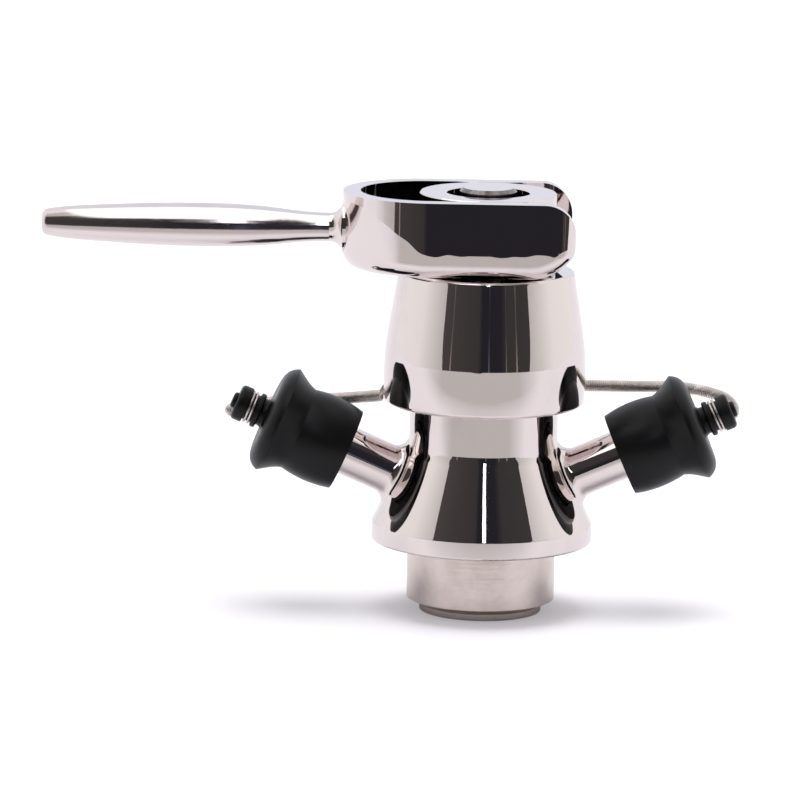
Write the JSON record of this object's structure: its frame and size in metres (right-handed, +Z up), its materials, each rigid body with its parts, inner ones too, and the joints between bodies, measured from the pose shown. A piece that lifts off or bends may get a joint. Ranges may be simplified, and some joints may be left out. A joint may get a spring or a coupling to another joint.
{
  "type": "sampling valve",
  "caption": "Aseptic sampling valve with a weld-on stub, conical flange, inclined hose ports under rubber plugs on spring tethers, and a quick-opening fork lever.",
  "frame": {"origin": "centre of the spigot's lower face, the end that the valve stands on and that faces into the vessel", "axes": "+Z up the stem, from the vessel towards the lever; the lever's rod points to -X and the two hose ports lie in the XZ plane, rising to -X and +X; +Y is the back, where the tethers pass behind the plugs"},
  "size_m": [0.1802, 0.0568, 0.1099],
  "materials": {
    "polished_steel": "mirror-polished stainless steel, satin on the weld-on stub",
    "machined_steel": "plain machined stainless steel",
    "spring_wire": "bright drawn stainless spring wire",
    "plug_rubber": "moulded black rubber with a soft sheen",
    "seal_rubber": "black sealing rubber",
    "silicone": "milky white silicone rubber",
    "bearing_plastic": "off-white fluoropolymer"
  },
  "bodies": {
    "valve": {"valve_body": "polished_steel", "port_tube_left": "polished_steel", "port_tube_right": "polished_steel", "bonnet": "polished_steel", "bonnet_o_ring": "seal_rubber", "membrane": "silicone", "stem_guide": "bearing_plastic", "stem_wiper": "bearing_plastic", "closing_spring": "spring_wire", "tether_left": "spring_wire", "tether_right": "spring_wire", "tether_hook_left": "spring_wire", "tether_hook_right": "spring_wire"},
    "stem": {"stem": "machined_steel", "barrel": "polished_steel", "trunnion_front": "machined_steel", "trunnion_back": "machined_steel", "stem_nut": "polished_steel"},
    "lever": {"lever_fork": "polished_steel", "lever_rod": "polished_steel", "cheek_bush_front": "bearing_plastic", "cheek_bush_back": "bearing_plastic"},
    "left_plug": {"plug_left": "plug_rubber", "wire_loop_left": "spring_wire"},
    "right_plug": {"plug_right": "plug_rubber", "wire_loop_right": "spring_wire"}
  },
  "joints": [
    {"name": "stem_lift", "type": "slide", "parent": "valve", "child": "stem", "axis": [0, 0, 1], "range_m": [0, 0.0085], "deforming": ["closing_spring", "membrane"]},
    {"name": "lever_turn", "type": "hinge", "parent": "stem", "child": "lever", "pos_m": [0, 0, 0.09895], "axis": [0, 1, 0], "range_deg": [0, 45], "stiffness_Nm_per_rad": 0.397, "springref_deg": -31.83},
    {"name": "left_plug_pull", "type": "slide", "parent": "valve", "child": "left_plug", "axis": [-0.9171, 0, 0.3987], "range_m": [0, 0.022], "deforming": ["tether_left"]},
    {"name": "right_plug_pull", "type": "slide", "parent": "valve", "child": "right_plug", "axis": [0.9171, 0, 0.3987], "range_m": [0, 0.022], "deforming": ["tether_right"]}
  ],
  "couplings": [
    {"joint": "stem_lift", "follows": "lever_turn", "m_per_rad": 0.0108}
  ]
}
